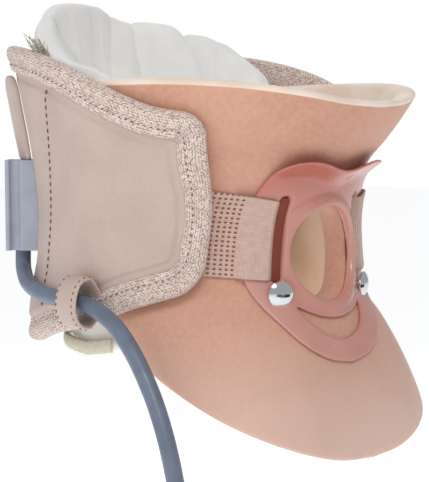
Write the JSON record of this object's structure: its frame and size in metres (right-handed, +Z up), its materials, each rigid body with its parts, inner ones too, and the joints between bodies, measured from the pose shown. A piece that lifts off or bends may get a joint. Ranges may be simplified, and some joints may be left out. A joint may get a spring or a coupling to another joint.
{
  "type": "cervical traction device",
  "caption": "Inflatable neck traction collar: foam front shell with a rigid plate, wrap-around padded rear cover with an air cushion, hose and hand pump.",
  "frame": {"origin": "on the axis of the neck opening, at the height of the collar's waist", "axes": "+Z up along the neck, -Y towards the wearer's front, -X towards the wearer's right, where the hose is"},
  "size_m": [0.1989, 0.2069, 0.447],
  "materials": {
    "leatherette": "satin",
    "stiffener_board": "matte",
    "lining_fabric": "matte",
    "edge_binding": "matte",
    "hook_tape": "matte",
    "strap_webbing": "matte",
    "cushion_fabric": "matte",
    "bladder_film": "satin",
    "hose": "satin",
    "connector_plastic": "satin",
    "plated_metal": "polished",
    "knob_plastic": "satin",
    "bulb_rubber": "matte",
    "moulded_foam": "matte",
    "front_plate": "gloss"
  },
  "bodies": {
    "root": {"cover_back": "leatherette", "board_back": "stiffener_board", "lining_back": "lining_fabric", "binding_back": "edge_binding", "air_cushion": "cushion_fabric", "air_bladder": "bladder_film", "bladder_nipple": "connector_plastic", "connector_backplate": "connector_plastic", "connector_screws": "plated_metal", "hose_connector": "connector_plastic", "pull_tab": "leatherette", "hose_upper": "hose"},
    "wing_right": {"cover_right": "leatherette", "board_right": "stiffener_board", "lining_right": "lining_fabric", "binding_right": "edge_binding", "hose_keeper": "leatherette", "hose_lower": "hose", "pump_bulb": "bulb_rubber", "release_valve": "plated_metal", "inlet_valve": "plated_metal"},
    "wing_left": {"cover_left": "leatherette", "board_left": "stiffener_board", "lining_left": "lining_fabric", "binding_left": "edge_binding"},
    "front_section": {"foam_shell": "moulded_foam", "front_plate": "front_plate", "rivets": "plated_metal", "rivet_washers": "plated_metal", "strap_right": "strap_webbing", "strap_left": "strap_webbing", "strap_hook_right": "hook_tape", "strap_hook_left": "hook_tape"},
    "knob": {"release_needle": "plated_metal", "release_knob": "knob_plastic"},
    "inlet_ball": {"inlet_ball": "plated_metal"}
  },
  "joints": [
    {"name": "front_pull", "type": "slide", "parent": "root", "child": "front_section", "axis": [0, -1, 0], "range_m": [0, 0.09]},
    {"name": "wing_right_swing", "type": "hinge", "parent": "root", "child": "wing_right", "pos_m": [-0.0865, 0.022, 0], "axis": [0, 0, -1], "range_deg": [0, 80]},
    {"name": "wing_left_swing", "type": "hinge", "parent": "root", "child": "wing_left", "pos_m": [0.0865, 0.022, 0], "axis": [0, 0, 1], "range_deg": [0, 80]},
    {"name": "release_knob_turn", "type": "hinge", "parent": "wing_right", "child": "knob", "pos_m": [-0.09, -0.1035, -0.221], "axis": [0, -1, 0], "range_deg": [0, 540]},
    {"name": "inlet_ball_lift", "type": "slide", "parent": "wing_right", "child": "inlet_ball", "axis": [0, 0, 1], "range_m": [0, 0.001]}
  ],
  "couplings": [
    {"joint": "wing_right_swing", "follows": "front_pull", "rad_per_m": 15},
    {"joint": "wing_left_swing", "follows": "front_pull", "rad_per_m": 15}
  ]
}
